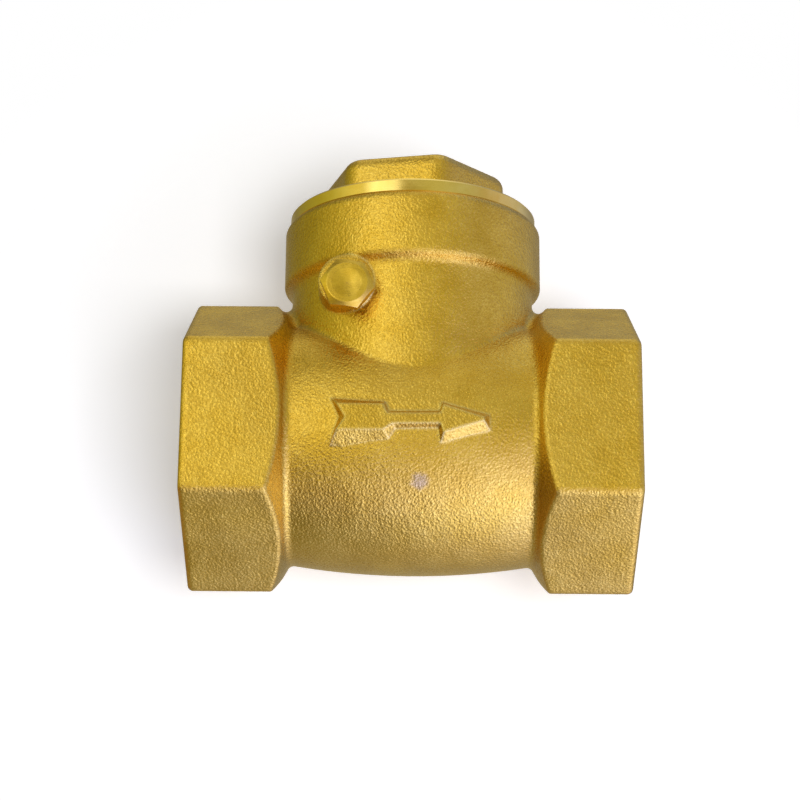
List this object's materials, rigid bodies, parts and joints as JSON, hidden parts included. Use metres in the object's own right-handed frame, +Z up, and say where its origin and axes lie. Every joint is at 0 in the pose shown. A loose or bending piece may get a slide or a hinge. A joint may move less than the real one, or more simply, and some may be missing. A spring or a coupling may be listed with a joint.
{
  "type": "check valve",
  "caption": "Brass swing check valve with hexagonal threaded ends, a screwed hex cap and a hinged disc that swings open with the flow.",
  "frame": {"origin": "centre of the inlet end face, on the pipe axis", "axes": "+X with the flow from inlet to outlet, +Z up through the cap"},
  "size_m": [0.0545, 0.033, 0.0535],
  "materials": {
    "cast_brass": "sandblasted cast skin",
    "cap_brass": "cast head with a turned rim",
    "turned_brass": "turned",
    "steel": "ground",
    "rubber": "matt",
    "ptfe": "matt"
  },
  "bodies": {
    "housing": {"body": "cast_brass", "hinge_pin": "steel"},
    "swing_arm": {"disc_arm": "cast_brass"},
    "disc": {"disc_holder": "turned_brass", "disc_seal": "rubber", "seal_washer": "turned_brass", "seal_nut": "turned_brass", "arm_washer": "turned_brass", "arm_nut": "turned_brass"},
    "gasket": {"cap_gasket": "ptfe"},
    "cap": {"cap": "cap_brass"},
    "washer": {"plug_washer": "turned_brass"},
    "plug": {"pin_plug": "turned_brass"}
  },
  "joints": [
    {"name": "flap_swing", "type": "hinge", "parent": "housing", "child": "swing_arm", "pos_m": [0.01945, 0, 0.0161], "axis": [0, -1, 0], "range_deg": [0, 55]},
    {"name": "disc_spin", "type": "hinge", "parent": "swing_arm", "child": "disc", "pos_m": [0.02405, 0, 0], "axis": [1, 0, 0], "continuous": true},
    {"name": "cap_turn", "type": "hinge", "parent": "housing", "child": "gasket", "pos_m": [0.02725, 0, 0.02805], "axis": [0, 0, 1], "range_deg": [0, 1440]},
    {"name": "cap_lift", "type": "slide", "parent": "gasket", "child": "cap", "axis": [0, 0, 1], "range_m": [0, 0.006]},
    {"name": "plug_turn", "type": "hinge", "parent": "housing", "child": "washer", "pos_m": [0.01945, -0.0148, 0.0161], "axis": [0, -1, 0], "range_deg": [0, 1620]},
    {"name": "plug_lift", "type": "slide", "parent": "washer", "child": "plug", "axis": [0, -1, 0], "range_m": [0, 0.00315]}
  ],
  "couplings": [
    {"joint": "cap_turn", "follows": "cap_lift", "rad_per_m": 4188.8},
    {"joint": "plug_turn", "follows": "plug_lift", "rad_per_m": 8976}
  ]
}
